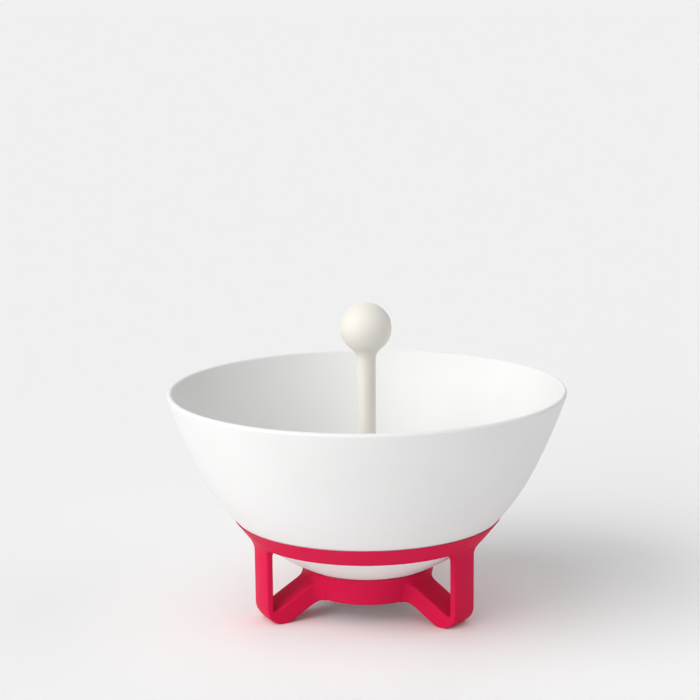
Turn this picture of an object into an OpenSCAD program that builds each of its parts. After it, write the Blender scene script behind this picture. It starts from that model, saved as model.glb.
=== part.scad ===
/* [Bowl] */
// Outer diameter of the bowl at its lip
rim_d = 180; // [170:1:190]
// Thickness of the bowl's wall and of its rounded lip
bowl_wall = 2.4; // [2:0.1:3]
// Lean of the wall at the lip, outward from upright, in degrees
rim_lean = 18.5; // [17:0.5:20]
// Radius of the long arc that shapes the upper wall
side_r = 262; // [246:2:280]
// Radius of the rounder arc that shapes the belly
belly_r = 99; // [96:0.5:102]
// How far below the lip the two arcs meet
knee_drop = 36.5; // [34:0.5:39]
// Height of the well's underside above the table
well_under_h = 12.8; // [12:0.2:16]

/* [Drain well] */
// Inside radius of the round well in the bowl's floor
well_r = 18.2; // [17:0.2:20]
// How far the well's underside lies below the belly beside it
well_drop = 5; // [4.4:0.2:6]
// Thickness of the well's floor
well_floor = 2.5; // [2:0.1:3]
// Radius of the drain outlet
outlet_r = 9; // [7:0.5:10]
// Depth of the chamfer that leads water into the outlet
outlet_chamfer = 0.8; // [0.4:0.1:1.2]

/* [Stand] */
// How far the cradle's upper edge lies below the lip
cradle_drop = 58.4; // [56:0.2:60]
// Height of the cradle band
cradle_band_h = 8.4; // [7:0.2:10]
// Thickness of the cradle at its fine upper edge
cradle_top_t = 0.35; // [0.3:0.05:0.8]
// Thickness of the cradle at its lower edge
cradle_low_t = 1.6; // [1.3:0.1:2]
// Clearance between the bowl and what it sits in
seat_gap = 0.2; // [0.15:0.05:0.3]
// How far the legs' outer face lies inside the cradle's lower edge
leg_inset = 1.1; // [0.8:0.1:1.6]
// Width of a leg and of its bar
leg_w = 15.7; // [12:0.1:18]
// Thickness of the upright part of a leg
leg_t = 2.9; // [2.4:0.1:3.6]
// Outer radius of the bend at the toe, as a share of the legs' distance from the middle
toe_bend_share = 0.145; // [0.125:0.005:0.155]
// Depth of the small flat that a toe stands on
toe_flat = 0.25; // [0.15:0.05:0.4]
// Height of the sloping bar where it meets the seat ring, as a share of the ring's height
bar_height_share = 0.77; // [0.66:0.01:0.82]
// Place of the seat ring, as a share of the way from the drain well to the cradle's lower edge
seat_share = 0.298; // [0.25:0.002:0.34]
// Lean of the seat ring's wall, in degrees
seat_lean = 12; // [8:1:14]
// Thickness of the seat ring's wall
seat_t = 2.5; // [2:0.1:3]
// Height of the seat ring's lower edge above the table
seat_low_h = 9.2; // [8:0.2:10]
// Radius of the outer blend from a leg into the cradle
shoulder_blend_r = 9.5; // [6:0.5:11]
// Radius of the blend from the top of a bar into the seat ring
bar_top_blend_r = 3.5; // [2:0.5:4]
// Radius of the blend from the underside of a bar into the seat ring
bar_foot_blend_r = 7; // [4:0.5:8]
// Radius of the blends beside a bar, seen from above
bar_side_blend_r = 6; // [4:0.5:8]
// Radius of the corners where the windows meet the cradle
window_corner_r = 2; // [1:0.25:3]

/* [Strainer] */
// Clearance between the strainer and the well
strainer_gap = 0.2; // [0.15:0.05:0.3]
// Thickness of the strainer's skirt
skirt_t = 1.6; // [1.4:0.1:1.8]
// Thickness of the strainer's dome
dome_t = 1.8; // [1.5:0.1:2.2]
// Rise of the dome above the skirt
dome_rise = 11.4; // [10:0.2:13]
// Number of slots through the dome
slot_count = 12; // [8:1:14]
// Width of a slot
slot_w = 2.4; // [1.8:0.1:2.6]
// How far the slots' inner ends lie outside the guide's bore
slot_inset = 4.8; // [4.4:0.1:5.4]
// How far the slots' outer ends lie inside the skirt
slot_margin = 1.4; // [1:0.1:2]
// Thickness of the wall round the guide's bore
guide_wall = 2.2; // [1.8:0.1:2.6]
// How far the guide stands out above the dome
guide_rise = 2.4; // [2:0.2:4]
// How far the guide reaches below the underside of the dome
guide_drop = 2.4; // [2:0.1:3]
// Height of the groove for the gasket
groove_h = 1.8; // [1.4:0.1:2]
// Depth of the groove for the gasket
groove_d = 0.8; // [0.6:0.05:0.9]
// How far the gasket stands clear of the well's wall
gasket_gap = 0.05; // [0.03:0.01:0.08]

/* [Plunger] */
// Diameter of the ball knob
knob_d = 23.1; // [20:0.1:26]
// Height of the knob's centre above the lip
knob_rise = 27.3; // [24:0.1:32]
// Radius of the blend between the knob and the stem
neck_blend_r = 7; // [4:0.5:9]
// Diameter of the stem under the neck
stem_top_d = 8.6; // [8.4:0.1:10]
// Diameter of the stem where it runs in the guide
stem_d = 7.8; // [7:0.1:8]
// How far above the guide the stem starts to widen
stem_run = 2; // [1:0.5:6]
// Clearance all round the stem in its guide
stem_gap = 0.1; // [0.08:0.01:0.15]
// Diameter of the spigot at the stem's lower end
spigot_d = 4.6; // [4:0.1:5]
// Length of the spigot
spigot_l = 5; // [4:0.1:5.4]
// How far the seal overlaps the floor round the outlet
seal_overlap = 3.2; // [2.4:0.1:4]
// Thickness of the seal's flange
seal_t = 1.6; // [1.2:0.1:2]
// Gap under the seal and under the skirt, where they stand on the well's floor
seal_gap = 0.1; // [0.05:0.05:0.2]
// Clearance between the seal's plug and the outlet
plug_gap = 0.5; // [0.4:0.1:0.8]
// Depth of the seal's plug below its flange
plug_l = 1.8; // [1.4:0.1:1.9]
// Taper of the plug toward its lower end, on the radius
plug_taper = 0.9; // [0.4:0.1:1.4]
// Thickness of the stopper plate
plate_t = 1.5; // [1.2:0.1:1.8]
// How far the seal stands out round the stopper plate
plate_inset = 0.8; // [0.5:0.1:1.2]
// Thickness of the hub's wall round the spigot
hub_wall = 2.7; // [2:0.1:3]
// Height of the hub above the stopper plate
hub_h = 2; // [1.6:0.1:2.4]
// Radius of the boss that passes down through the seal
boss_r = 3.4; // [3:0.1:3.6]
// Radius of the head that holds the seal on the boss
head_r = 4.8; // [4.4:0.1:5.4]
// Thickness of that head
head_t = 0.6; // [0.5:0.05:0.7]

/* [Hidden] */
$fn = 96;
leg_count = 3;
// Overrun that lets a cut pass clean through what it cuts
over = 1;
// How far a blend runs on below the surface that it meets
bury = 0.05;
// Number of straight steps in a long arc, in a blend and in the ball
arc_steps = 16;
blend_steps = 8;
ball_steps = 28;
// Small roundings of the drain well and of the guide's top
well_blend_r = 1;
guide_blend_r = 0.5;

// Angle from a to b the short way round, in degrees
function turn(a, b) = b - a - 360 * round((b - a) / 360);
function unit(v) = v / norm(v);
function angle_of(v) = atan2(v[1], v[0]);
// Points of an arc about c, from angle a to angle b
function arc(c, r, a, b, steps) =
  [for (i = [0 : steps]) c + r * [cos(a + (b - a) * i / steps), sin(a + (b - a) * i / steps)]];
// The same points without the first, where an outline already ends on it
function after(points) = [for (i = [1 : len(points) - 1]) points[i]];
// Points of the blend of radius r that rounds the corner k between the points a and b
function blend(a, k, b, r) =
  let (u = unit(a - k), v = unit(b - k), half = acos(u * v) / 2)
  let (c = k + unit(u + v) * r / sin(half), reach = r / tan(half))
  let (start = angle_of(k + u * reach - c), end = angle_of(k + v * reach - c))
  arc(c, r, start, start + turn(start, end), blend_steps);
// Point where the line through p at angle a crosses the line through q at angle b
function crossing(p, a, q, b) =
  let (d = q - p, s = (d[0] * sin(b) - d[1] * cos(b)) / sin(b - a))
  p + s * [cos(a), sin(a)];

// Bowl: two tangent arcs, the same centres for the outside and the inside of the wall.
// Their places are first found from the top of the lip, then raised by the lip's height.
lip_r = bowl_wall / 2;
side_from_lip = [rim_d / 2 - lip_r, -lip_r] - (side_r - lip_r) * [cos(rim_lean), -sin(rim_lean)];
knee_a = asin((side_from_lip[1] + knee_drop) / side_r);
belly_from_lip = side_from_lip + (side_r - belly_r) * [cos(knee_a), -sin(knee_a)];
well_out_r = well_r + bowl_wall;
well_from_lip = belly_from_lip[1] - sqrt(pow(belly_r, 2) - pow(well_out_r - belly_from_lip[0], 2)) - well_drop;
rim_h = well_under_h - well_from_lip;
lip_c = [rim_d / 2 - lip_r, rim_h - lip_r];
side_c = side_from_lip + [0, rim_h];
belly_c = belly_from_lip + [0, rim_h];
// Height of the belly, grown outward by off, at radius r, and its radius at height z
function belly_z(r, off) = belly_c[1] - sqrt(pow(belly_r + off, 2) - pow(r - belly_c[0], 2));
function belly_x(z, off) = belly_c[0] + sqrt(pow(belly_r + off, 2) - pow(belly_c[1] - z, 2));
function belly_a(r, off) = -acos((r - belly_c[0]) / (belly_r + off));

well_floor_h = well_under_h + well_floor;

// Cradle: a thin band that follows the bowl's belly
cradle_top_h = rim_h - cradle_drop;
cradle_low_h = cradle_top_h - cradle_band_h;
cradle_top = [belly_x(cradle_top_h, seat_gap + cradle_top_t), cradle_top_h];
cradle_low = [belly_x(cradle_low_h, seat_gap + cradle_low_t), cradle_low_h];
cradle_lean = angle_of(cradle_top - cradle_low);

// Leg: outer face, toe, bar and seat ring in one radial outline
leg_r = cradle_low[0] - leg_inset;
leg_in_r = leg_r - leg_t;
toe_r = toe_bend_share * leg_r;
toe_c = [leg_r - toe_r, toe_r - toe_flat];
seat_r = well_out_r + seat_share * (cradle_low[0] - well_out_r);
seat_low_r = seat_r - (belly_z(seat_r, seat_gap) - seat_low_h) * tan(seat_lean);
seat_low = [seat_low_r, seat_low_h];
seat_a = 90 - seat_lean;
// Slope of the bar: the line from the seat ring's lower edge that just touches the toe's bend
bar_a = angle_of(toe_c - seat_low) - asin(toe_r / norm(toe_c - seat_low));
bar_up = [-sin(bar_a), cos(bar_a)];
bar_t = bar_height_share * (belly_z(seat_r, seat_gap) - seat_low_h) * cos(bar_a);
bar_top_at_leg = crossing(seat_low + bar_t * bar_up, bar_a, [leg_in_r, 0], 90);
bar_top_at_seat = crossing(seat_low + bar_t * bar_up, bar_a, seat_low - [bury, 0], seat_a);
bar_foot = crossing(seat_low + [0, bury], 0, seat_low, bar_a);
shoulder = crossing([leg_r, 0], 90, cradle_low - [bury, 0], cradle_lean);

// Strainer
strainer_r = well_r - strainer_gap;
strainer_foot_h = well_floor_h + seal_gap;
skirt_in_r = strainer_r - skirt_t;
dome_edge_h = belly_z(well_r, -bowl_wall);
dome_r = (pow(strainer_r, 2) + pow(dome_rise, 2)) / (2 * dome_rise);
dome_c = dome_edge_h + dome_rise - dome_r;
guide_r = stem_d / 2 + stem_gap;
guide_out_r = guide_r + guide_wall;
guide_top_h = dome_edge_h + dome_rise + guide_rise;
guide_low_h = dome_edge_h + dome_rise - dome_t - guide_drop;
groove_mid_h = (strainer_foot_h + dome_edge_h) / 2;

// Plunger, built up from the well's floor
seal_h = well_floor_h + seal_gap;
seal_r = outlet_r + seal_overlap;
plate_h = seal_h + seal_t;
hub_top_h = plate_h + plate_t + hub_h;
plug_top_r = outlet_r - plug_gap;
knob_c_h = rim_h + knob_rise;
knob_r = knob_d / 2;
neck_c = [stem_top_d / 2 + neck_blend_r,
  knob_c_h - sqrt(pow(knob_r + neck_blend_r, 2) - pow(stem_top_d / 2 + neck_blend_r, 2))];
neck_a = angle_of(neck_c - [0, knob_c_h]);

// Crimson stand, one moulding: cradle, three legs with sloping bars, and seat ring
module cradle_band() {
  top_a = belly_a(belly_x(cradle_top_h, seat_gap), seat_gap);
  low_a = belly_a(belly_x(cradle_low_h, seat_gap), seat_gap);
  inner = arc(belly_c, belly_r + seat_gap, top_a, low_a, arc_steps);
  rotate_extrude() polygon(concat([cradle_low, cradle_top], inner));
}

module seat_ring() {
  top_in = seat_r - seat_t;
  seat = arc(belly_c, belly_r + seat_gap, belly_a(seat_r, seat_gap), belly_a(top_in, seat_gap), blend_steps);
  rotate_extrude() polygon(concat([seat_low], seat, [seat_low - [seat_t, 0]]));
}

// Radial outline of a leg; its ends lie inside the cradle and the seat ring
module leg_outline() {
  seat_run = [cos(seat_a), sin(seat_a)];
  in_cradle_h = cradle_low_h + cradle_band_h / 4;
  in_cradle = [belly_x(in_cradle_h, seat_gap + cradle_low_t / 2), in_cradle_h];
  polygon(concat(
    [seat_low + [-seat_t / 2, seat_t]],
    blend(bar_foot - [seat_t, 0], bar_foot, toe_c + toe_r * [sin(bar_a), -cos(bar_a)], bar_foot_blend_r),
    arc(toe_c, toe_r, bar_a - 90, 0, arc_steps),
    blend([leg_r, 0], shoulder, cradle_top - [bury, 0], shoulder_blend_r),
    [in_cradle],
    arc(belly_c, belly_r + seat_gap, belly_a(belly_x(cradle_low_h, seat_gap), seat_gap),
      belly_a(leg_in_r, seat_gap), blend_steps),
    [bar_top_at_leg],
    blend(bar_top_at_leg, bar_top_at_seat, bar_top_at_seat + bar_t * seat_run, bar_top_blend_r),
    [bar_top_at_seat - [seat_t / 2, 0]]
  ));
}

// Face of one leg, seen from outside: straight sides that flare into the cradle's lower edge
module leg_face() {
  h = leg_w / 2;
  r = window_corner_r;
  top = cradle_top_h;
  low = cradle_low_h + bury - r;
  polygon(concat(
    [[-h, -over], [h, -over]],
    arc([h + r, low], r, 180, 90, blend_steps),
    [[h + r, top], [-h - r, top]],
    arc([-h - r, low], r, 90, 0, blend_steps)
  ));
}

// Blend between the side of a bar and the seat ring, seen from above
module bar_side_blend() {
  ring_r = seat_low_r - bury;
  c_y = leg_w / 2 + bar_side_blend_r;
  c_x = sqrt(pow(ring_r + bar_side_blend_r, 2) - pow(c_y, 2));
  on_ring = [c_x, c_y] * ring_r / (ring_r + bar_side_blend_r);
  difference() {
    polygon([[0, 0], [c_x, 0], [c_x, leg_w / 2], [c_x, c_y], on_ring]);
    translate([c_x, c_y]) circle(bar_side_blend_r);
  }
}

module legs() {
  intersection() {
    rotate_extrude() difference() {
      leg_outline();
      translate([0, -toe_r]) square([leg_r + over, toe_r]);
    }
    for (i = [0 : leg_count - 1]) rotate([0, 0, 90 + i * 360 / leg_count]) {
      rotate([90, 0, 90]) linear_extrude(cradle_top[0] + over) leg_face();
      linear_extrude(belly_z(seat_r, 0)) {
        bar_side_blend();
        mirror([0, 1]) bar_side_blend();
      }
    }
  }
}

module stand() {
  color("crimson") {
    cradle_band();
    seat_ring();
    legs();
  }
}

// White bowl with a round drain well in its floor
module bowl() {
  in_r = belly_r - bowl_wall;
  near_well = well_out_r + 2 * well_blend_r;
  near = [near_well, belly_z(near_well, 0)];
  under = [well_out_r, belly_z(well_out_r, 0)];
  foot = [well_out_r, well_under_h];
  color("white") rotate_extrude() polygon(concat(
    after(arc(lip_c, lip_r, 180 - rim_lean, -rim_lean, blend_steps)),
    after(arc(side_c, side_r, -rim_lean, -knee_a, arc_steps)),
    after(arc(belly_c, belly_r, -knee_a, belly_a(near_well, 0), arc_steps)),
    blend(near, under, foot, well_blend_r),
    blend(under, foot, [0, well_under_h], well_blend_r),
    [[outlet_r, well_under_h]],
    [[outlet_r, well_floor_h - outlet_chamfer]],
    [[outlet_r + outlet_chamfer, well_floor_h]],
    [[well_r, well_floor_h]],
    [[well_r, belly_z(well_r + well_blend_r, -bowl_wall) - well_blend_r]],
    arc(belly_c, in_r, belly_a(well_r + well_blend_r, -bowl_wall), -knee_a, arc_steps),
    after(arc(side_c, side_r - bowl_wall, -knee_a, -rim_lean, arc_steps))
  ));
}

// Domed strainer with radial slots, a guide for the stem and a skirt that stands in the well
module strainer() {
  slot_in_r = guide_r + slot_inset;
  slot_out_r = skirt_in_r - slot_margin;
  edge_a = angle_of([strainer_r, dome_edge_h - dome_c]);
  in_edge_a = acos(skirt_in_r / (dome_r - dome_t));
  guide_a = acos(guide_out_r / dome_r);
  guide_in_a = acos(guide_out_r / (dome_r - dome_t));
  color("ivory") difference() {
    rotate_extrude() polygon(concat(
      [[skirt_in_r, strainer_foot_h]],
      [[strainer_r, strainer_foot_h]],
      [[strainer_r, groove_mid_h - groove_h / 2]],
      [[strainer_r - groove_d, groove_mid_h - groove_h / 2]],
      [[strainer_r - groove_d, groove_mid_h + groove_h / 2]],
      [[strainer_r, groove_mid_h + groove_h / 2]],
      arc([0, dome_c], dome_r, edge_a, guide_a, arc_steps),
      blend([guide_out_r, 0], [guide_out_r, guide_top_h], [guide_r, guide_top_h], guide_blend_r),
      [[guide_r, guide_top_h]],
      [[guide_r, guide_low_h]],
      [[guide_out_r, guide_low_h]],
      arc([0, dome_c], dome_r - dome_t, guide_in_a, in_edge_a, arc_steps)
    ));
    for (i = [0 : slot_count - 1]) rotate([0, 0, i * 360 / slot_count])
      translate([0, 0, dome_edge_h - dome_t]) linear_extrude(dome_rise + dome_t) {
        translate([slot_in_r, -slot_w / 2]) square([slot_out_r - slot_in_r, slot_w]);
        translate([slot_in_r, 0]) circle(slot_w / 2);
        translate([slot_out_r, 0]) circle(slot_w / 2);
      }
  }
}

// Soft ring in the skirt's groove
module strainer_gasket() {
  in_r = strainer_r - groove_d;
  out_r = well_r - gasket_gap;
  color("gainsboro") translate([0, 0, groove_mid_h - groove_h / 2]) rotate_extrude()
    translate([in_r, 0]) square([out_r - in_r, groove_h]);
}

// Ball knob and stem in one moulding, with a spigot at the lower end
module knob_and_stem() {
  r = stem_d / 2;
  color("ivory") rotate_extrude() polygon(concat(
    [[0, hub_top_h - spigot_l], [spigot_d / 2, hub_top_h - spigot_l], [spigot_d / 2, hub_top_h]],
    [[r, hub_top_h]],
    [[r, guide_top_h + stem_run]],
    arc(neck_c, neck_blend_r, 180, 180 + neck_a, blend_steps),
    after(arc([0, knob_c_h], knob_r, neck_a, 90, ball_steps))
  ));
}

// Stiff plate on the stem's spigot; its boss carries the seal
module stopper_plate() {
  head_h = seal_h - plug_l - head_t;
  color("ivory") rotate_extrude() polygon([
    [0, head_h],
    [head_r, head_h],
    [head_r, head_h + head_t],
    [boss_r, head_h + head_t],
    [boss_r, plate_h],
    [seal_r - plate_inset, plate_h],
    [seal_r - plate_inset, plate_h + plate_t],
    [spigot_d / 2 + hub_wall, plate_h + plate_t],
    [spigot_d / 2 + hub_wall, hub_top_h],
    [spigot_d / 2, hub_top_h],
    [spigot_d / 2, hub_top_h - spigot_l],
    [0, hub_top_h - spigot_l]
  ]);
}

// Soft seal that closes the outlet from above
module stopper_seal() {
  color("gainsboro") rotate_extrude() polygon([
    [boss_r, seal_h - plug_l],
    [plug_top_r - plug_taper, seal_h - plug_l],
    [plug_top_r, seal_h],
    [seal_r, seal_h],
    [seal_r, plate_h],
    [boss_r, plate_h]
  ]);
}

stand();
bowl();
strainer();
strainer_gasket();
knob_and_stem();
stopper_plate();
stopper_seal();
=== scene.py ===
# %% [markdown]
# # A rinsing bowl on its cradle stand
# The real object is a set of moulded plastic pieces: a white bowl, a crimson stand with three legs,
# and an ivory lift stopper that comes up through a slotted strainer. The solid model gives every
# size and place. Here each piece gets a finer surface, a material and light, in the same frame, in
# metres.

# %% Load the solid model
import math
import bmesh
import bpy
import numpy as np
from mathutils import Matrix, Vector


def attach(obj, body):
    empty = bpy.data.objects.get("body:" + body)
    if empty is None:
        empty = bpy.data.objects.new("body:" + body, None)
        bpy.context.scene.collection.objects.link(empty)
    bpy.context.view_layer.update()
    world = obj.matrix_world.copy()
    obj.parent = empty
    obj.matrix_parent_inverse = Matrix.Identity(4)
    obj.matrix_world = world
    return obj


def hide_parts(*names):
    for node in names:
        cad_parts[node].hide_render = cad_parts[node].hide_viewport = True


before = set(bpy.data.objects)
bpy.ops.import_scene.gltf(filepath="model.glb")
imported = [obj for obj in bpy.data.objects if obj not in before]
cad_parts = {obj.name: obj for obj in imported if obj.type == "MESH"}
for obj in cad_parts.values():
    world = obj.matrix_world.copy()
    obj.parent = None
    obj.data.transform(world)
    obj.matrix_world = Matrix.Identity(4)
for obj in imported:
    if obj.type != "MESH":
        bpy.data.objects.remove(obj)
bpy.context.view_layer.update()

MM = 0.001

# %% [markdown]
# ## The camera
# The camera stands 0.8 m in front of the bowl and well above its rim. Its place and the three small
# angles were worked out from the ellipse of the rim and from the two front feet, so the perspective
# of the legs comes out right as well.

# %% Camera
IMAGE_PIXELS = 700
FOCAL_PIXELS = 1811.3
SENSOR_MM = 36.0
camera_turn = math.radians(5.76)
camera_distance = 0.800
camera_height = 0.2755
pitch_down, yaw_right, roll = 0.19193, -0.00908, -0.01090


def direction(bearing, height):
    """The way to a point at a bearing from the front and at an angle above the floor."""
    return Vector((
        math.sin(bearing) * math.cos(height),
        -math.cos(bearing) * math.cos(height),
        math.sin(height),
    ))


def aim(turn, down, yaw, tilt):
    """Right, up and back directions of a camera that is turned round the object and then aimed."""
    ahead = -direction(-yaw, down)
    right = ahead.cross(Vector((0, 0, 1))).normalized()
    up = right.cross(ahead)
    cos_tilt, sin_tilt = math.cos(tilt), math.sin(tilt)
    right, up = right * cos_tilt + up * sin_tilt, up * cos_tilt - right * sin_tilt
    spin = Matrix.Rotation(turn, 3, "Z")
    return spin @ right, spin @ up, spin @ -ahead


right, up, back = aim(camera_turn, pitch_down, yaw_right, roll)
place = direction(camera_turn, 0) * camera_distance
place.z = camera_height
camera_data = bpy.data.cameras.new("photo_camera")
camera_data.sensor_width = SENSOR_MM
camera_data.lens = SENSOR_MM * FOCAL_PIXELS / IMAGE_PIXELS
camera = bpy.data.objects.new("photo_camera", camera_data)
bpy.context.scene.collection.objects.link(camera)
camera.matrix_world = Matrix((
    (right.x, up.x, back.x, place.x),
    (right.y, up.y, back.y, place.y),
    (right.z, up.z, back.z, place.z),
    (0, 0, 0, 1),
))
bpy.context.scene.camera = camera
print("camera at", [round(v, 3) for v in place], "lens", round(camera_data.lens, 1), "mm")

# %% [markdown]
# ## Helpers for outlines
# Almost every piece here is turned about one upright axis, so it starts as an outline of points
# (distance from the axis, height), in millimetres. Small functions draw the outlines: an arc, a
# corner rounded by a radius, an open run of corners and a closed loop of them. A point that is not
# rounded is just (x, z). The last function finds where two straight lines meet.

# %% Outline helpers
NEARLY_STRAIGHT = math.radians(89.5)


def arc(centre, radius, start, end, steps):
    """Points of an arc, from one angle to another, in degrees."""
    turns = np.radians(np.linspace(start, end, steps + 1))
    return [(centre[0] + radius * math.cos(a), centre[1] + radius * math.sin(a)) for a in turns]


def rounded(before, corner, after, radius, steps):
    """The arc that rounds one corner of an outline."""
    k = np.array(corner, float)
    u, v = np.array(before, float) - k, np.array(after, float) - k
    u, v = u / np.linalg.norm(u), v / np.linalg.norm(v)
    half = math.acos(max(-1, min(1, float(u @ v)))) / 2
    if radius <= 0 or half > NEARLY_STRAIGHT:
        return [tuple(k)]
    centre = k + (u + v) / np.linalg.norm(u + v) * radius / math.sin(half)
    first = k + u * radius / math.tan(half) - centre
    last = k + v * radius / math.tan(half) - centre
    start, end = (math.degrees(math.atan2(p[1], p[0])) for p in (first, last))
    end = start + (end - start + 180) % 360 - 180
    return arc(centre, radius, start, end, steps)


def run(points):
    """An open outline from points (x, z), or (x, z, rounding, steps) where a corner is rounded."""
    made = [points[0]]
    for before, corner, after in zip(points, points[1:], points[2:]):
        if len(corner) == 2:
            made.append(corner)
        else:
            made += rounded(before[:2], corner[:2], after[:2], *corner[2:])
    return made + [points[-1]]


def soften(points, steps=5):
    """A closed outline from points (x, z, rounding)."""
    made = []
    for i, (x, z, radius) in enumerate(points):
        before, after = points[i - 1], points[(i + 1) % len(points)]
        made += rounded(before[:2], (x, z), after[:2], radius, steps)
    return made


def crossing(p, a, q, b):
    """Where two lines meet; each is a point and an angle in degrees."""
    a, b = math.radians(a), math.radians(b)
    dx, dz = q[0] - p[0], q[1] - p[1]
    s = (dx * math.sin(b) - dz * math.cos(b)) / math.sin(b - a)
    return p[0] + s * math.cos(a), p[1] + s * math.sin(a)


print("a corner rounded by 1 mm:", np.round(rounded((5, 0), (0, 0), (0, 5), 1, 2), 2).tolist())

# %% [markdown]
# ## Helpers for surfaces
# A turned piece is its outline carried round the axis. The outline's points become rings, and rings
# are joined by four-sided faces, so the surface stays clean and even. A mesh is made an object by
# one function, which also says which body it rides on, which solid it stands for and what it is
# made of.

# %% Surface helpers
ON_AXIS_MM = 1e-6
WELD_M = 1e-7


def point(x, y, z):
    """A point given in millimetres, in the scene's metres."""
    return Vector((x * MM, y * MM, z * MM))


def turned(outline, steps, closed=True, build=None):
    """Carry an outline round the axis; points on the axis itself become single poles."""
    build = build or bmesh.new()
    rings = []
    for x, z in outline:
        if abs(x) < ON_AXIS_MM:
            rings.append([build.verts.new((0, 0, z * MM))] * steps)
            continue
        rings.append([build.verts.new((x * MM * math.cos(a), x * MM * math.sin(a), z * MM))
                      for a in (2 * math.pi * i / steps for i in range(steps))])
    for k in range(len(rings) - (0 if closed else 1)):
        low, high = rings[k], rings[(k + 1) % len(rings)]
        for i in range(steps):
            j = (i + 1) % steps
            corners = []
            for corner in (low[i], low[j], high[j], high[i]):
                if corner not in corners:
                    corners.append(corner)
            if len(corners) > 2:
                build.faces.new(corners)
    return build


def skin(build, rings):
    """Four-sided faces between each closed ring of points and the next."""
    for near_ring, far_ring in zip(rings, rings[1:]):
        for i in range(len(near_ring)):
            j = (i + 1) % len(near_ring)
            build.faces.new((near_ring[i], near_ring[j], far_ring[j], far_ring[i]))


def piece(name, build, body, node, finish):
    """Make a mesh into an object that rides on its body and stands for its solid."""
    bmesh.ops.remove_doubles(build, verts=build.verts, dist=WELD_M)
    bmesh.ops.recalc_face_normals(build, faces=build.faces)
    mesh = bpy.data.meshes.new(name)
    build.to_mesh(mesh)
    build.free()
    mesh.shade_smooth()
    mesh.materials.append(finish)
    made = bpy.data.objects.new(name, mesh)
    bpy.context.scene.collection.objects.link(made)
    even = made.modifiers.new("even_shading", "WEIGHTED_NORMAL")
    even.weight = 50
    even.keep_sharp = True
    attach(made, body)
    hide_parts(node)
    print(name, "has", len(mesh.polygons), "faces")


# %% [markdown]
# ## Helpers for materials
# Every finish here is made of nodes. A node is added with its settings in one call, and a link
# joins two sockets, so each material below reads from top to bottom like a recipe.

# %% Material helpers
def new_material(name):
    """An empty node material: returns it with its nodes and its links."""
    made = bpy.data.materials.new(name)
    made.use_nodes = True
    made.node_tree.nodes.clear()
    return made, made.node_tree.nodes, made.node_tree.links


def add(nodes, kind, **values):
    """One node; names of sockets go to their default values, others to the node's settings."""
    node = nodes.new(kind)
    for key, value in values.items():
        label = key.replace("_", " ")
        socket = next((s for s in node.inputs if s.name.lower() == label.lower()), None)
        if socket is not None:
            socket.default_value = value
        else:
            setattr(node, key, value)
    return node


# %% [markdown]
# ## The finish of moulded plastic
# The three hard colours are the same kind of plastic from the same kind of tool: a satin skin that
# copies the fine blasting of the mould, a trace of cloudiness in the colour, and places that are a
# little smoother from handling. The ivory also lets a little light in, as a thick pale moulding
# does. One function makes them all, the soft rubbery one too, so only the numbers differ.

# %% Plastic
PLASTIC_IOR = 1.49
CLOUD_SCALE, HANDLED_SCALE = 28.0, 70.0
SMOOTHER, ROUGHER = 0.05, 0.06
GRAIN_STRENGTH = 0.35
INNER_LIGHT, INNER_REACH = 0.35, (1.0, 0.6, 0.4)


def plastic(name, colour, deep_colour, roughness, shine, grain, grain_depth, depth_mm=0.0):
    """Satin moulded plastic: cloudy colour, uneven gloss, the mould's grain, some light let in."""
    made, nodes, links = new_material(name)
    out = add(nodes, "ShaderNodeOutputMaterial")
    surface = add(nodes, "ShaderNodeBsdfPrincipled", IOR=PLASTIC_IOR)
    surface.inputs["Specular IOR Level"].default_value = shine
    if depth_mm > 0:
        surface.inputs["Subsurface Weight"].default_value = INNER_LIGHT
        surface.inputs["Subsurface Radius"].default_value = INNER_REACH
        surface.inputs["Subsurface Scale"].default_value = depth_mm * MM
    spot = add(nodes, "ShaderNodeTexCoord")
    cloud = add(nodes, "ShaderNodeTexNoise", Scale=CLOUD_SCALE, Detail=3.0, Roughness=0.55)
    cloudy = add(nodes, "ShaderNodeMapRange", From_Min=0.35, From_Max=0.65, To_Min=0.0, To_Max=1.0)
    tint = add(nodes, "ShaderNodeMix", data_type="RGBA")
    tint.inputs["A"].default_value = (*deep_colour, 1)
    tint.inputs["B"].default_value = (*colour, 1)
    handled = add(nodes, "ShaderNodeTexNoise", Scale=HANDLED_SCALE, Detail=4.0, Roughness=0.6)
    gloss = add(nodes, "ShaderNodeMapRange", From_Min=0.3, From_Max=0.7,
                To_Min=roughness - SMOOTHER, To_Max=roughness + ROUGHER)
    blasted = add(nodes, "ShaderNodeTexNoise", Scale=grain, Detail=2.0, Roughness=0.6)
    bump = add(nodes, "ShaderNodeBump", Strength=GRAIN_STRENGTH, Distance=grain_depth)
    for noise in (cloud, handled, blasted):
        links.new(spot.outputs["Object"], noise.inputs["Vector"])
    links.new(cloud.outputs["Fac"], cloudy.inputs["Value"])
    links.new(cloudy.outputs["Result"], tint.inputs["Factor"])
    links.new(tint.outputs["Result"], surface.inputs["Base Color"])
    links.new(handled.outputs["Fac"], gloss.inputs["Value"])
    links.new(gloss.outputs["Result"], surface.inputs["Roughness"])
    links.new(blasted.outputs["Fac"], bump.inputs["Height"])
    links.new(bump.outputs["Normal"], surface.inputs["Normal"])
    links.new(surface.outputs["BSDF"], out.inputs["Surface"])
    return made


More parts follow.
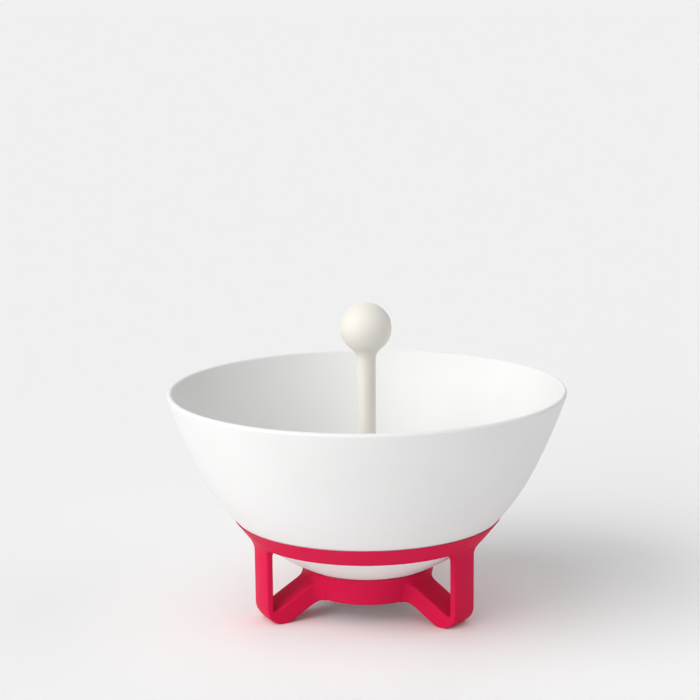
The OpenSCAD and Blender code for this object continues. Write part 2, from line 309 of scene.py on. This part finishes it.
crimson = plastic("crimson_satin_plastic", (0.70, 0.0125, 0.073), (0.675, 0.011, 0.068),
                  roughness=0.46, shine=0.04, grain=2600.0, grain_depth=0.00003)
white = plastic("white_satin_plastic", (0.85, 0.85, 0.845), (0.835, 0.835, 0.83),
                roughness=0.50, shine=0.16, grain=2200.0, grain_depth=0.00002)
ivory = plastic("ivory_satin_plastic", (0.82, 0.795, 0.735), (0.81, 0.78, 0.715),
                roughness=0.42, shine=0.28, grain=2400.0, grain_depth=0.00003, depth_mm=2.5)
soft = plastic("soft_silicone", (0.72, 0.71, 0.67), (0.68, 0.67, 0.63),
               roughness=0.60, shine=0.25, grain=1800.0, grain_depth=0.00004)
print("materials:", [m.name for m in bpy.data.materials])

# %% [markdown]
# ## Sizes that all the pieces share
# These are the driving sizes of the solid model, in millimetres, and what follows from them: two
# arcs that meet smoothly make the bowl, and the stand hugs the lower one with a fine clearance.

# %% Shared sizes
RIM_R, WALL, RIM_LEAN, KNEE_DROP = 90.0, 2.4, 18.5, 36.5
SIDE_R, BELLY_R = 262.0, 99.0
WELL_UNDER, WELL_R, WELL_DROP, WELL_FLOOR = 12.8, 18.2, 5.0, 2.5
SEAT_GAP = 0.2
lip_r = WALL / 2
well_out_r = WELL_R + WALL
lean = math.radians(RIM_LEAN)
lean_out = np.array([math.cos(lean), -math.sin(lean)])
side_c = np.array([RIM_R - lip_r, -lip_r]) - (SIDE_R - lip_r) * lean_out
knee = math.asin((side_c[1] + KNEE_DROP) / SIDE_R)
belly_c = side_c + (SIDE_R - BELLY_R) * np.array([math.cos(knee), -math.sin(knee)])
well_from_lip = belly_c[1] - math.sqrt(BELLY_R ** 2 - (well_out_r - belly_c[0]) ** 2) - WELL_DROP
rim_z = WELL_UNDER - well_from_lip
side_c[1] += rim_z
belly_c[1] += rim_z
knee_deg = math.degrees(knee)


def belly_z(x, off=0.0):
    """Height of the belly's arc, grown outward by off, at a distance x from the axis."""
    return belly_c[1] - math.sqrt((BELLY_R + off) ** 2 - (x - belly_c[0]) ** 2)


def belly_x(z, off=0.0):
    """Distance of the belly's arc from the axis at a height z."""
    return belly_c[0] + math.sqrt((BELLY_R + off) ** 2 - (belly_c[1] - z) ** 2)


def belly_deg(x, off=0.0):
    """Angle of the belly's arc, about its own centre, at a distance x from the axis."""
    return -math.degrees(math.acos((x - belly_c[0]) / (BELLY_R + off)))


print("rim height", round(rim_z, 2), "mm; belly centre", np.round(belly_c, 2))

# %% [markdown]
# ## The bowl
# A white injection moulding, 180 mm across. Its wall is one thickness all the way, the lip is a
# full round, and the floor steps down into a small well that the strainer stands in. The outline
# goes from the lip down the outside, under the well, up through the outlet and back up the inside.

# %% Bowl
ROUND_STEPS = 256
LIP_STEPS, WALL_STEPS, BELLY_STEPS = 14, 26, 44
OUTLET_R, OUTLET_CHAMFER, WELL_BLEND = 9.0, 0.8, 1.0
well_floor_z = WELL_UNDER + WELL_FLOOR
near_well = well_out_r + 2 * WELL_BLEND
inside_edge, inside_belly = WELL_R + 2, WELL_R + 1.4
well_run = run([
    (near_well, belly_z(near_well)),
    (well_out_r, belly_z(well_out_r), WELL_BLEND, 8),
    (well_out_r, WELL_UNDER, WELL_BLEND, 8),
    (OUTLET_R, WELL_UNDER, 0.3, 4),
    (OUTLET_R, well_floor_z - OUTLET_CHAMFER, 0.4, 4),
    (OUTLET_R + OUTLET_CHAMFER, well_floor_z, 0.4, 4),
    (WELL_R, well_floor_z, 0.15, 4),
    (WELL_R, belly_z(WELL_R, -WALL), 0.9, 8),
    (inside_edge, belly_z(inside_edge, -WALL)),
])
bowl_outline = (
    arc((RIM_R - lip_r, rim_z - lip_r), lip_r, 180 - RIM_LEAN, -RIM_LEAN, LIP_STEPS)
    + arc(side_c, SIDE_R, -RIM_LEAN, -knee_deg, WALL_STEPS)[1:]
    + arc(belly_c, BELLY_R, -knee_deg, belly_deg(near_well), BELLY_STEPS)[1:]
    + well_run[1:-1]
    + arc(belly_c, BELLY_R - WALL, belly_deg(inside_belly, -WALL), -knee_deg, BELLY_STEPS)
    + arc(side_c, SIDE_R - WALL, -knee_deg, -RIM_LEAN, WALL_STEPS)[1:-1]
)
piece("bowl_shell", turned(bowl_outline, ROUND_STEPS), "bowl", "bowl", white)

# %% [markdown]
# ## The stand: sizes
# One crimson moulding. Seen from the side each leg is a bent strip: it drops from the cradle, turns
# round a toe, and runs back inward as a thick bar that rises to the seat ring. The bar's slope is
# the line from the ring's lower edge that just touches the toe's bend. The toe, the ring and the
# bar's height are shares of other sizes, as in the solid model.

# %% Stand sizes
BURY = 0.05
LEG_W, LEG_T, LEG_INSET = 15.7, 2.9, 1.1
CRADLE_DROP, CRADLE_H, CRADLE_TOP_T, CRADLE_LOW_T = 58.4, 8.4, 0.35, 1.6
TOE_SHARE, TOE_FLAT = 0.145, 0.25
SEAT_LEAN, SEAT_T, SEAT_LOW, SEAT_SHARE = 12.0, 2.5, 9.2, 0.298
BAR_SHARE = 0.77
cradle_top_z = rim_z - CRADLE_DROP
cradle_low_z = cradle_top_z - CRADLE_H
cradle_top = (belly_x(cradle_top_z, SEAT_GAP + CRADLE_TOP_T), cradle_top_z)
cradle_low = (belly_x(cradle_low_z, SEAT_GAP + CRADLE_LOW_T), cradle_low_z)
cradle_deg = math.degrees(math.atan2(cradle_top[1] - cradle_low[1], cradle_top[0] - cradle_low[0]))
leg_r = cradle_low[0] - LEG_INSET
leg_in_r = leg_r - LEG_T
toe_r = TOE_SHARE * leg_r
toe_c = np.array([leg_r - toe_r, toe_r - TOE_FLAT])
seat_r = well_out_r + SEAT_SHARE * (cradle_low[0] - well_out_r)
seat_h = belly_z(seat_r, SEAT_GAP) - SEAT_LOW
seat_slant = math.tan(math.radians(SEAT_LEAN))
seat_low = np.array([seat_r - seat_h * seat_slant, SEAT_LOW])
to_toe = toe_c - seat_low
bar_slope = math.atan2(to_toe[1], to_toe[0]) - math.asin(toe_r / np.linalg.norm(to_toe))
bar_deg = math.degrees(bar_slope)
bar_along = np.array([math.cos(math.radians(bar_deg)), math.sin(math.radians(bar_deg))])
bar_up = np.array([-bar_along[1], bar_along[0]])
bar_t = BAR_SHARE * seat_h * bar_along[0]
print("leg at", round(leg_r, 2), "mm; bar slope", round(bar_deg, 2), "degrees, thickness",
      round(bar_t, 2), "mm")

# %% [markdown]
# ## The stand: cradle band and seat ring
# The two round parts are turned. The band is a wedge that thins to a fine upper edge against the
# bowl, and its inner face follows the bowl's belly. The ring leans outward a little, as a moulded
# wall must to leave its mould. Every edge is slightly rounded, because a mould has no sharp ones.

# %% Band and ring
EDGE = 0.75
BAND_LOW_EDGE, BAND_TOP_EDGE, BAND_INNER_EDGE, RING_TOP_EDGE = 0.45, 0.14, 0.3, 0.25


def along_belly(from_x, to_x, steps):
    """The belly's arc at the seat's clearance, from one distance to another from the axis."""
    start, end = belly_deg(from_x, SEAT_GAP), belly_deg(to_x, SEAT_GAP)
    return arc(belly_c, BELLY_R + SEAT_GAP, start, end, steps)


stand_build = bmesh.new()
inner_top, inner_low = belly_x(cradle_top_z, SEAT_GAP), belly_x(cradle_low_z, SEAT_GAP)
belly_run = along_belly(inner_top, inner_low, 14)
band_outline = soften(
    [(*cradle_low, BAND_LOW_EDGE), (*cradle_top, BAND_TOP_EDGE)]
    + [(x, z, 0.0) for x, z in belly_run[:-1]]
    + [(*belly_run[-1], BAND_INNER_EDGE)]
)
turned(band_outline, ROUND_STEPS, build=stand_build)
seat_run = along_belly(seat_r, seat_r - SEAT_T, 5)
ring_outline = soften(
    [(*seat_low, EDGE), (*seat_run[0], RING_TOP_EDGE)]
    + [(x, z, 0.0) for x, z in seat_run[1:-1]]
    + [(*seat_run[-1], RING_TOP_EDGE), (seat_low[0] - SEAT_T, SEAT_LOW, EDGE)]
)
turned(ring_outline, ROUND_STEPS, build=stand_build)
print("band and ring:", len(stand_build.faces), "faces")

# %% [markdown]
# ## The stand: the line of a leg
# A leg is laid out as a row of stations, from inside the cradle, down the outside, round the toe
# and along the bar into the seat ring. Each station pairs a point on the outer line with one on the
# inner line. Both lines are drawn here in the leg's own upright plane.

# %% Leg stations
SHOULDER_BLEND, CROOK_BLEND, FOOT_BLEND, BAR_TOP_BLEND = 9.5, 0.9, 7.0, 3.5
FOOT_LIFT = 0.22
BURIED_UP, BURIED_IN = 2.1, 0.8
UP_THE_LEG, UP_THE_RING = 30, 20
seat_deg = 90 - SEAT_LEAN
bar_top = seat_low + bar_t * bar_up
shoulder = crossing((leg_r, 0), 90, (cradle_low[0] - BURY, cradle_low[1]), cradle_deg)
bar_foot = crossing((seat_low[0], seat_low[1] + FOOT_LIFT), 0, seat_low, bar_deg)
bar_top_leg = crossing(bar_top, bar_deg, (leg_in_r, 0), 90)
bar_top_seat = crossing(bar_top, bar_deg, (seat_low[0] - BURY, seat_low[1]), seat_deg)
above_seat = (bar_top_seat[0] + UP_THE_RING * math.cos(math.radians(seat_deg)),
              bar_top_seat[1] + UP_THE_RING * math.sin(math.radians(seat_deg)))
toe_end = toe_c - toe_r * bar_up
above_toe_end = toe_end + bar_t * bar_up
outer_shoulder = rounded(cradle_top, shoulder, (leg_r, 0), SHOULDER_BLEND, 10)
inner_crook = rounded((leg_in_r, UP_THE_LEG), bar_top_leg, bar_top_seat, CROOK_BLEND, 10)
outer_foot = rounded(tuple(toe_end), bar_foot, (0, bar_foot[1]), FOOT_BLEND, 12)
inner_foot = rounded(bar_top_leg, bar_top_seat, above_seat, BAR_TOP_BLEND, 12)


def between(p, q, steps):
    """Evenly spaced points from p to q, both ends kept."""
    p, q = np.array(p), np.array(q)
    return [tuple(p + (q - p) * i / steps) for i in range(steps + 1)]


in_cradle_z = cradle_low_z + BURIED_UP
inner_belly = along_belly(inner_low, leg_in_r, 9)
outer_line = (
    outer_shoulder
    + between(outer_shoulder[-1], (leg_r, toe_c[1]), 14)[1:]
    + arc(toe_c, toe_r, 0, bar_deg - 90, 20)[1:]
    + between(toe_end, outer_foot[0], 10)[1:]
    + outer_foot[1:]
)
inner_line = (
    [(belly_x(in_cradle_z, SEAT_GAP + BURIED_IN), in_cradle_z)]
    + inner_belly
    + between(inner_belly[-1], inner_crook[0], 14)[1:]
    + inner_crook[1:]
    + between(inner_crook[-1], above_toe_end, 10)[1:]
    + between(above_toe_end, inner_foot[0], 10)[1:]
    + inner_foot[1:]
)
print("stations:", len(outer_line), len(inner_line))

# %% [markdown]
# ## The stand: the surface of a leg
# Round each pair of points goes a flat loop with rounded corners, and the loops are skinned one to
# the next. The strip widens in two smooth curves: where the bar runs into the leaning ring, and
# where the leg runs into the cradle, which rounds the upper corners of the window. The three legs
# are the same strip, turned into place.

# %% Leg surface
SIDE_BLEND, WINDOW_BLEND = 6.0, 4.5
THIN_SHARE = 0.42
LEG_TURNS = (90, 210, 330)
ring_r = seat_low[0] - BURY
blend_c = np.array([0.0, LEG_W / 2 + SIDE_BLEND])
blend_c[0] = math.sqrt((ring_r + SIDE_BLEND) ** 2 - blend_c[1] ** 2)
blend_end = math.degrees(math.atan2(-blend_c[1], -blend_c[0])) % 360
blend_run = arc(blend_c, SIDE_BLEND, 270, blend_end, 24)[::-1]
blend_reach = [math.hypot(*p) for p in blend_run]
blend_width = [p[1] for p in blend_run]


def half_width(x, z):
    """Half the strip's width: wider where it runs into the leaning ring and into the cradle."""
    from_ring = x - max(z - SEAT_LOW, 0.0) * seat_slant
    width = float(np.interp(from_ring, blend_reach, blend_width))
    start = cradle_low_z + BURY - WINDOW_BLEND
    if z > start:
        rise = min(z - start, WINDOW_BLEND)
        width += WINDOW_BLEND - math.sqrt(WINDOW_BLEND ** 2 - rise ** 2)
    return width


def station_loop(outer, inner, flat_steps=8, round_steps=5, side_steps=4):
    """One closed loop round the strip: (x, y, z) points with rounded corners."""
    outer, inner = np.array(outer), np.array(inner)
    thick = float(np.linalg.norm(inner - outer))
    edge = min(EDGE, THIN_SHARE * thick)
    quarter = [math.pi / 2 * i / round_steps for i in range(round_steps + 1)]
    half = [(edge * (1 - math.cos(a)), edge * (1 - math.sin(a))) for a in quarter]
    sides = [(edge + (thick - 2 * edge) * i / side_steps, 0.0) for i in range(1, side_steps)]
    path = half + sides + [(thick - depth, inset) for depth, inset in half[::-1]]
    loop = []
    for sign in (1, -1):
        for depth, inset in path[::sign]:
            x, z = outer + (inner - outer) * depth / thick
            z = max(z, 0.0)
            loop.append((x, sign * (half_width(x, z) - inset), z))
        x, y, z = loop[-1]
        for i in range(1, flat_steps):
            loop.append((x, y * (1 - 2 * i / flat_steps), z))
    return loop


def add_leg(build, turn_deg):
    """Skin the loops of one leg and turn it into place."""
    spin = Matrix.Rotation(math.radians(turn_deg), 3, "Z")
    rings = []
    for outer, inner in zip(outer_line, inner_line):
        ring = []
        for x, y, z in station_loop(outer, inner):
            ahead = math.sqrt(max(x * x - y * y, 0.0))
            ring.append(build.verts.new(spin @ point(ahead, y, z)))
        rings.append(ring)
    skin(build, rings)
    build.faces.new(rings[0])
    build.faces.new(rings[-1][::-1])


for turn in LEG_TURNS:
    add_leg(stand_build, turn)
piece("stand_moulding", stand_build, "stand", "stand", crimson)

# %% [markdown]
# ## Ball knob and stem
# Ivory, in one moulding. The ball is a finger's grip, the neck flows into the stem in one hollow
# curve, and below it the stem is a little slimmer where it slides in the strainer's guide. Its
# lowest part, the spigot, is thinner again and carries the stopper plate.

# %% Knob and stem
KNOB_R, KNOB_RISE, NECK_BLEND = 11.55, 27.3, 7.0
STEM_TOP_R, STEM_R, STEM_RUN, SLIDE_RUN = 4.3, 3.9, 2.0, 4
SPIGOT_R, SPIGOT_L = 2.3, 5.0
SEAL_GAP, SEAL_T, PLATE_T, HUB_H = 0.1, 1.6, 1.5, 2.0
DOME_RISE, GUIDE_RISE = 11.4, 2.4
KNOB_STEPS = 128
seal_z = well_floor_z + SEAL_GAP
plate_z = seal_z + SEAL_T
plate_top_z = plate_z + PLATE_T
hub_top_z = plate_top_z + HUB_H
spigot_foot_z = hub_top_z - SPIGOT_L
dome_edge_z = belly_z(WELL_R, -WALL)
guide_top_z = dome_edge_z + DOME_RISE + GUIDE_RISE
slim_top = (STEM_R, guide_top_z + STEM_RUN)
knob_z = rim_z + KNOB_RISE
neck_r = STEM_TOP_R + NECK_BLEND
neck_c = (neck_r, knob_z - math.sqrt((KNOB_R + NECK_BLEND) ** 2 - neck_r ** 2))
neck_deg = math.degrees(math.atan2(neck_c[1] - knob_z, neck_c[0]))
knob_outline = (
    run([
        (0.0, spigot_foot_z),
        (SPIGOT_R, spigot_foot_z, 0.4, 4),
        (SPIGOT_R, hub_top_z),
        (STEM_R, hub_top_z, 0.3, 4),
        (STEM_R, guide_top_z - SLIDE_RUN),
    ])
    + between((STEM_R, guide_top_z - SLIDE_RUN), slim_top, 4)[1:]
    + between(slim_top, (STEM_TOP_R, neck_c[1]), 24)[1:-1]
    + arc(neck_c, NECK_BLEND, 180, 180 + neck_deg, 22)
    + arc((0, knob_z), KNOB_R, neck_deg, 90, 64)[1:-1]
    + [(0.0, knob_z + KNOB_R)]
)
piece("ball_knob_and_stem", turned(knob_outline, KNOB_STEPS, closed=False),
      "plunger", "knob_and_stem", ivory)

# %% [markdown]
# ## The strainer: sizes
# Ivory, moulded in one: a dome pierced by twelve radial slots, a skirt that stands in the well, and
# in the middle a sleeve that guides the stem. A soft ring in the skirt's groove grips the well.

# %% Strainer sizes
SLOTS, SLOT_R, SLOT_INSET, SLOT_MARGIN = 12, 1.2, 4.8, 1.4
STRAINER_GAP, STRAINER_LIFT, SKIRT_T, DOME_T = 0.2, 0.1, 1.6, 1.8
STEM_GAP, GUIDE_WALL, GUIDE_DROP = 0.1, 2.2, 2.4
GROOVE_H, GROOVE_D = 1.8, 0.8
strainer_r = WELL_R - STRAINER_GAP
skirt_in_r = strainer_r - SKIRT_T
strainer_foot = well_floor_z + STRAINER_LIFT
dome_r = (strainer_r ** 2 + DOME_RISE ** 2) / (2 * DOME_RISE)
dome_c = dome_edge_z + DOME_RISE - dome_r
guide_r = STEM_R + STEM_GAP
guide_out_r = guide_r + GUIDE_WALL
guide_low_z = dome_edge_z + DOME_RISE - DOME_T - GUIDE_DROP
slot_from, slot_to = guide_r + SLOT_INSET, skirt_in_r - SLOT_MARGIN
groove_z = (strainer_foot + dome_edge_z) / 2


def dome_z(x, y=0.0, thick=0.0):
    """Height of the dome's upper face, or of its underside when a thickness is given."""
    return dome_c + math.sqrt((dome_r - thick) ** 2 - x * x - y * y)


print("dome radius", round(dome_r, 2), "mm; slots from", round(slot_from, 2),
      "to", round(slot_to, 2), "mm")

# %% [markdown]
# ## The strainer: slots
# One slot's patch of the dome is a row of closed rings of points. The first ring is the border of
# the patch, the next ones close in on the slot, then they roll over its rounded edge, go down the
# wall of the slot and open out again on the underside. Twelve such patches fill the dome.

# %% Slot patch
END_STEPS, SIDE_STEPS = 12, 12
PATCH_STEPS = SLOTS * END_STEPS
TOP_EDGE, LOW_EDGE = 0.3, 0.12
CLOSING_IN, OPENING_OUT = (0.0, 0.3, 0.6, 0.85), (0.7, 0.35, 0.0)
top_in, top_out = guide_out_r + 0.8, strainer_r - 1.0


def slot_ring(off):
    """A ring of points round the slot, off millimetres outside its edge."""
    w, length = SLOT_R + off, slot_to - slot_from
    ring = [(slot_from + length * i / SIDE_STEPS, w) for i in range(SIDE_STEPS)]
    ring += arc((slot_to, 0), w, 90, -90, END_STEPS)[:-1]
    ring += [(slot_to - length * i / SIDE_STEPS, -w) for i in range(SIDE_STEPS)]
    ring += arc((slot_from, 0), w, -90, -270, END_STEPS)[:-1]
    return np.array(ring)


def border_ring(inner, outer):
    """The border of the patch: two radial sides and two arcs about the axis."""
    half = math.radians(180 / SLOTS)
    polar = [(inner + (outer - inner) * i / SIDE_STEPS, half) for i in range(SIDE_STEPS)]
    polar += [(outer, half * (1 - 2 * i / END_STEPS)) for i in range(END_STEPS)]
    polar += [(outer - (outer - inner) * i / SIDE_STEPS, -half) for i in range(SIDE_STEPS)]
    polar += [(inner, -half * (1 - 2 * i / END_STEPS)) for i in range(END_STEPS)]
    return np.array([(d * math.cos(a), d * math.sin(a)) for d, a in polar])


def roll_over(edge, steps):
    """Offsets and drops of a rounded edge, from the flat beside it to the wall."""
    turns = [math.pi / 2 * i / steps for i in range(steps + 1)]
    return [(edge * (1 - math.sin(a)), edge * (1 - math.cos(a))) for a in turns]


patch = []
top_border, low_border = border_ring(top_in, top_out), border_ring(guide_out_r, skirt_in_r)
for share in CLOSING_IN:
    ring = top_border * (1 - share) + slot_ring(TOP_EDGE) * share
    patch.append([(x, y, dome_z(x, y)) for x, y in ring])
for off, drop in roll_over(TOP_EDGE, 4):
    patch.append([(x, y, dome_z(x, y) - drop) for x, y in slot_ring(off)])
for off, drop in roll_over(LOW_EDGE, 3)[::-1]:
    patch.append([(x, y, dome_z(x, y, DOME_T) + drop) for x, y in slot_ring(off)])
for share in OPENING_OUT:
    ring = low_border * (1 - share) + slot_ring(LOW_EDGE) * share
    patch.append([(x, y, dome_z(x, y, DOME_T)) for x, y in ring])
print("patch:", len(patch), "rings of", len(patch[0]), "points")

# %% [markdown]
# ## The strainer: skirt and sleeve
# The outlines of the skirt and of the sleeve are open: they end exactly on the borders of the slot
# patches, on top and underneath, and the points that meet are then made one.

# %% Strainer
strainer_build = bmesh.new()
for k in range(SLOTS):
    spin = Matrix.Rotation(2 * math.pi * k / SLOTS, 3, "Z")
    rings = [[strainer_build.verts.new(spin @ point(*p)) for p in ring] for ring in patch]
    skin(strainer_build, rings)

groove_top, groove_low = groove_z + GROOVE_H / 2, groove_z - GROOVE_H / 2
groove_in = strainer_r - GROOVE_D
skirt_outline = run([
    *((x, dome_z(x)) for x in np.linspace(top_out, strainer_r - 0.35, 4)),
    (strainer_r, dome_edge_z, 0.5, 5),
    (strainer_r, groove_top, 0.12, 3),
    (groove_in, groove_top),
    (groove_in, groove_low),
    (strainer_r, groove_low, 0.12, 3),
    (strainer_r, strainer_foot, 0.35, 4),
    (skirt_in_r, strainer_foot, 0.35, 4),
    (skirt_in_r, dome_z(skirt_in_r, 0, DOME_T)),
])
turned(skirt_outline, PATCH_STEPS, closed=False, build=strainer_build)
sleeve_outline = run([
    (top_in, dome_z(top_in)),
    (guide_out_r, dome_z(guide_out_r), 0.6, 6),
    (guide_out_r, guide_top_z, 0.5, 6),
    (guide_r, guide_top_z, 0.25, 4),
    (guide_r, guide_low_z, 0.2, 4),
    (guide_out_r, guide_low_z, 0.35, 4),
    (guide_out_r, dome_z(guide_out_r, 0, DOME_T)),
])
turned(sleeve_outline, PATCH_STEPS, closed=False, build=strainer_build)
piece("strainer_moulding", strainer_build, "strainer", "strainer", ivory)

# %% [markdown]
# ## Soft ring, stopper plate and seal
# Three small turned pieces that are hidden in use. The soft ring bulges out of the skirt's groove.
# The stiff plate sits on the stem's spigot, and its headed boss holds the soft seal, whose tapered
# plug finds its own way into the outlet.

# %% Small turned pieces
GASKET_GAP, GASKET_STEPS = 0.05, 192
gasket_r = WELL_R - GASKET_GAP
gasket_outline = soften([
    (groove_in, groove_low, 0.1),
    (gasket_r, groove_low, 0.7),
    (gasket_r, groove_top, 0.7),
    (groove_in, groove_top, 0.1),
], 7)
piece("skirt_gasket", turned(gasket_outline, GASKET_STEPS),
      "strainer", "strainer_gasket", soft)

SEAL_OVERLAP, PLUG_GAP, PLUG_L, PLUG_TAPER, SEAL_STEPS = 3.2, 0.5, 1.8, 0.9, 160
PLATE_INSET, HUB_R, BOSS_R, HEAD_R, HEAD_T, PLATE_STEPS = 0.8, 5.0, 3.4, 4.8, 0.6, 128
seal_r, plug_top_r = OUTLET_R + SEAL_OVERLAP, OUTLET_R - PLUG_GAP
plug_low_z = seal_z - PLUG_L
plate_r, head_z = seal_r - PLATE_INSET, plug_low_z - HEAD_T
plate_outline = run([
    (0.0, head_z),
    (HEAD_R, head_z, 0.25, 4),
    (HEAD_R, plug_low_z, 0.15, 3),
    (BOSS_R, plug_low_z),
    (BOSS_R, plate_z),
    (plate_r, plate_z, 0.15, 3),
    (plate_r, plate_top_z, 0.5, 5),
    (HUB_R, plate_top_z, 0.6, 5),
    (HUB_R, hub_top_z, 0.4, 5),
    (SPIGOT_R, hub_top_z),
    (SPIGOT_R, spigot_foot_z),
    (0.0, spigot_foot_z),
])
piece("stopper_plate_moulding", turned(plate_outline, PLATE_STEPS, closed=False),
      "plunger", "stopper_plate", ivory)
seal_outline = soften([
    (BOSS_R, plug_low_z, 0.1),
    (plug_top_r - PLUG_TAPER, plug_low_z, 0.4),
    (plug_top_r, seal_z, 0.3),
    (seal_r, seal_z, 0.15),
    (seal_r, plate_z, 0.6),
    (BOSS_R, plate_z, 0.1),
])
piece("stopper_soft_seal", turned(seal_outline, SEAL_STEPS),
      "plunger", "stopper_seal", soft)

# %% [markdown]
# ## The floor
# A wide, plain, pale sheet. The lamps below light it evenly, so it runs up to the horizon in one
# tone, and the world behind it is given that same tone, which hides where the sheet ends.

# %% Floor
FLOOR_RADIUS, FLOOR_SIDES = 40.0, 64
FLOOR_COLOUR = (0.92, 0.92, 0.92, 1)


def floor_sheet(radius, sides):
    """A flat disc of one face under the object."""
    mesh = bpy.data.meshes.new("floor")
    build = bmesh.new()
    corners = [build.verts.new((radius * math.cos(a), radius * math.sin(a), 0))
               for a in (2 * math.pi * i / sides for i in range(sides))]
    build.faces.new(corners)
    build.to_mesh(mesh)
    build.free()
    sheet = bpy.data.objects.new("floor", mesh)
    bpy.context.scene.collection.objects.link(sheet)
    return sheet


floor = floor_sheet(FLOOR_RADIUS, FLOOR_SIDES)
floor_paint, floor_nodes, floor_links = new_material("pale_floor")
floor_out = add(floor_nodes, "ShaderNodeOutputMaterial")
floor_skin = add(floor_nodes, "ShaderNodeBsdfDiffuse", Color=FLOOR_COLOUR)
floor_links.new(floor_skin.outputs["BSDF"], floor_out.inputs["Surface"])
floor.data.materials.append(floor_paint)
print("floor:", round(2 * FLOOR_RADIUS), "m across")

# %% [markdown]
# ## Light
# The room is lit like a shaded studio. Two wide soft lamps from the front left, one high and one
# lower, do most of the work. A low one and a high one lighten the front, and weaker ones from the
# right and from behind keep the far side from going dark. Each is a sun with a very wide disc, as
# soft as a large diffusing sheet, and lights the whole floor alike, so only the object's own shadow
# shows.

# %% Lamps and world
ROOM_LIGHT, BACKGROUND = 0.225, 0.872
LAMPS = [
    # name, degrees round from the camera (left is negative), degrees up, width, strength
    ("broad_key", -60, 30, 55, 1.39),
    ("high_key", -60, 55, 55, 0.84),
    ("front_left", -30, 10, 30, 0.57),
    ("front_high", 0, 50, 55, 0.20),
    ("right_fill", 90, 35, 55, 0.49),
    ("right_low", 120, 20, 40, 0.09),
    ("rear_high", 180, 50, 55, 0.26),
    ("rear_low", 180, 15, 40, 0.44),
]
for lamp_name, round_deg, up_deg, width_deg, strength in LAMPS:
    lamp_data = bpy.data.lights.new(lamp_name, "SUN")
    lamp_data.energy = strength
    lamp_data.angle = math.radians(width_deg)
    lamp = bpy.data.objects.new(lamp_name, lamp_data)
    source = direction(math.radians(round_deg) + camera_turn, math.radians(up_deg))
    lamp.rotation_mode = "QUATERNION"
    lamp.rotation_quaternion = source.to_track_quat("Z", "Y")
    bpy.context.scene.collection.objects.link(lamp)

world = bpy.data.worlds.new("even_room")
bpy.context.scene.world = world
world.use_nodes = True
world.node_tree.nodes.clear()
room_nodes, room_links = world.node_tree.nodes, world.node_tree.links
room_out = add(room_nodes, "ShaderNodeOutputWorld")
room_light = add(room_nodes, "ShaderNodeBackground", Color=(1, 1, 1, 1), Strength=ROOM_LIGHT)
room_seen = add(room_nodes, "ShaderNodeBackground", Color=(1, 1, 1, 1), Strength=BACKGROUND)
room_path = add(room_nodes, "ShaderNodeLightPath")
room_pick = add(room_nodes, "ShaderNodeMixShader")
room_links.new(room_path.outputs["Is Camera Ray"], room_pick.inputs["Fac"])
room_links.new(room_light.outputs["Background"], room_pick.inputs[1])
room_links.new(room_seen.outputs["Background"], room_pick.inputs[2])
room_links.new(room_pick.outputs["Shader"], room_out.inputs["Surface"])
bpy.context.scene.view_settings.view_transform = "Standard"
print("lamps:", [lamp_row[0] for lamp_row in LAMPS])
